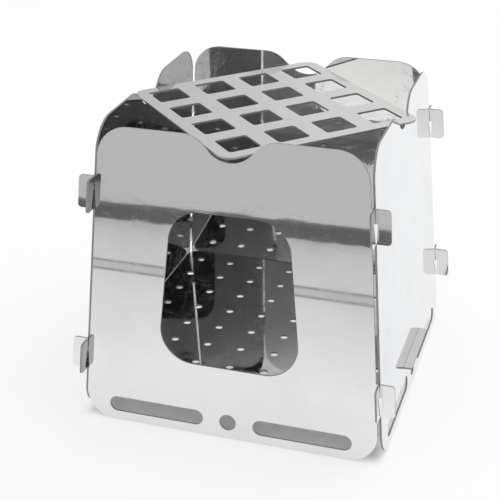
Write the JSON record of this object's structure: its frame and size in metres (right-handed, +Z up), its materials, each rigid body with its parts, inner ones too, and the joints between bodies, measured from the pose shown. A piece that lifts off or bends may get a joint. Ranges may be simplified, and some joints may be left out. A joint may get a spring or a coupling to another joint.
{
  "type": "flatpack wood stove",
  "caption": "Small wood stove of slotted flat sheet: four hooked inward-leaning walls, a perforated fire floor and a square pot grate set cornerwise in the top notches.",
  "frame": {"origin": "on the ground under the middle of the stove, at the level of the lowest edges of the walls", "axes": "+Z up, -Y out of the stoking window in the front wall, +X to the right seen from the front"},
  "size_m": [0.1488, 0.1488, 0.1386],
  "materials": {
    "wall_steel": "polished stainless, lightly scratched",
    "floor_steel": "polished stainless",
    "grate_steel": "polished stainless"
  },
  "bodies": {
    "base": {"left_panel": "wall_steel", "right_panel": "wall_steel", "fire_floor": "floor_steel"},
    "front_wall": {"front_panel": "wall_steel"},
    "rear_wall": {"rear_panel": "wall_steel"},
    "grate": {"pot_grate": "grate_steel"}
  },
  "joints": [
    {"name": "front_panel_lift", "type": "slide", "parent": "base", "child": "front_wall", "axis": [0, 0, 1], "range_m": [0, 0.007]},
    {"name": "rear_panel_lift", "type": "slide", "parent": "base", "child": "rear_wall", "axis": [0, 0, 1], "range_m": [0, 0.007]},
    {"name": "pot_grate_lift", "type": "slide", "parent": "front_wall", "child": "grate", "axis": [0, 0, 1], "range_m": [0, 0.06]}
  ],
  "couplings": [
    {"joint": "rear_panel_lift", "follows": "front_panel_lift", "ratio": 1}
  ]
}
